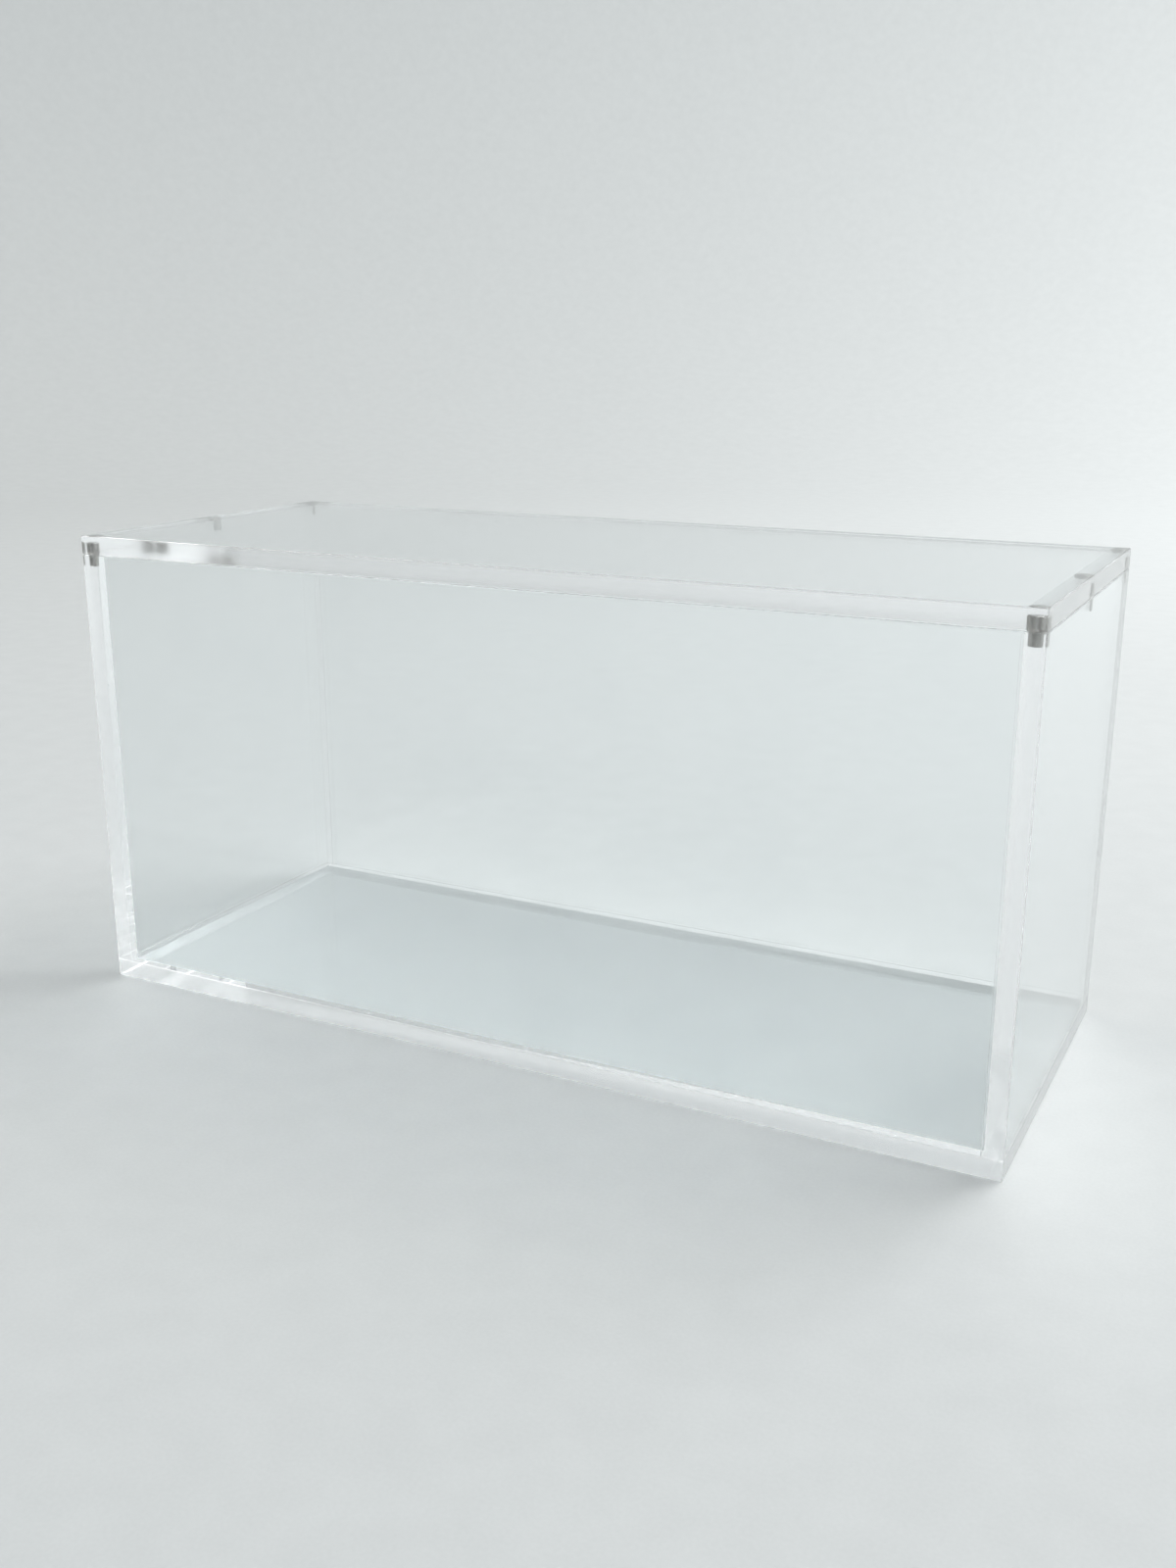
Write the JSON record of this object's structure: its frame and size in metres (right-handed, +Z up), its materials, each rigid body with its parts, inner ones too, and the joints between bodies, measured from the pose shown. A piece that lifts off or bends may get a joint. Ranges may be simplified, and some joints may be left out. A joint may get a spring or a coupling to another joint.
{
  "type": "acrylic display case",
  "caption": "Clear acrylic display case: an open-topped box of bonded polished sheet with a loose flat lid held shut by small magnets set in the end walls' rims.",
  "frame": {"origin": "middle of the base plate's underside, where the case stands", "axes": "+X along the width to the right, -Y towards the front panel that faces the viewer, +Z up"},
  "size_m": [0.25, 0.1, 0.1245],
  "materials": {
    "clear_acrylic": "clear cast acrylic sheet with polished faces and diamond-polished edges",
    "magnet_nickel": "bright nickel plating with a fine tumbled grain"
  },
  "bodies": {
    "case": {"base_plate": "clear_acrylic", "front_panel": "clear_acrylic", "back_panel": "clear_acrylic", "left_wall": "clear_acrylic", "right_wall": "clear_acrylic", "rim_magnet_front_left": "magnet_nickel", "rim_magnet_mid_left": "magnet_nickel", "rim_magnet_back_left": "magnet_nickel", "rim_magnet_front_right": "magnet_nickel", "rim_magnet_mid_right": "magnet_nickel", "rim_magnet_back_right": "magnet_nickel"},
    "lid": {"lid": "clear_acrylic", "lid_magnet_front_left": "magnet_nickel", "lid_magnet_mid_left": "magnet_nickel", "lid_magnet_back_left": "magnet_nickel", "lid_magnet_front_right": "magnet_nickel", "lid_magnet_mid_right": "magnet_nickel", "lid_magnet_back_right": "magnet_nickel"}
  },
  "joints": [
    {"name": "lid_lift", "type": "slide", "parent": "case", "child": "lid", "axis": [0, 0, 1], "range_m": [0, 0.15]}
  ]
}
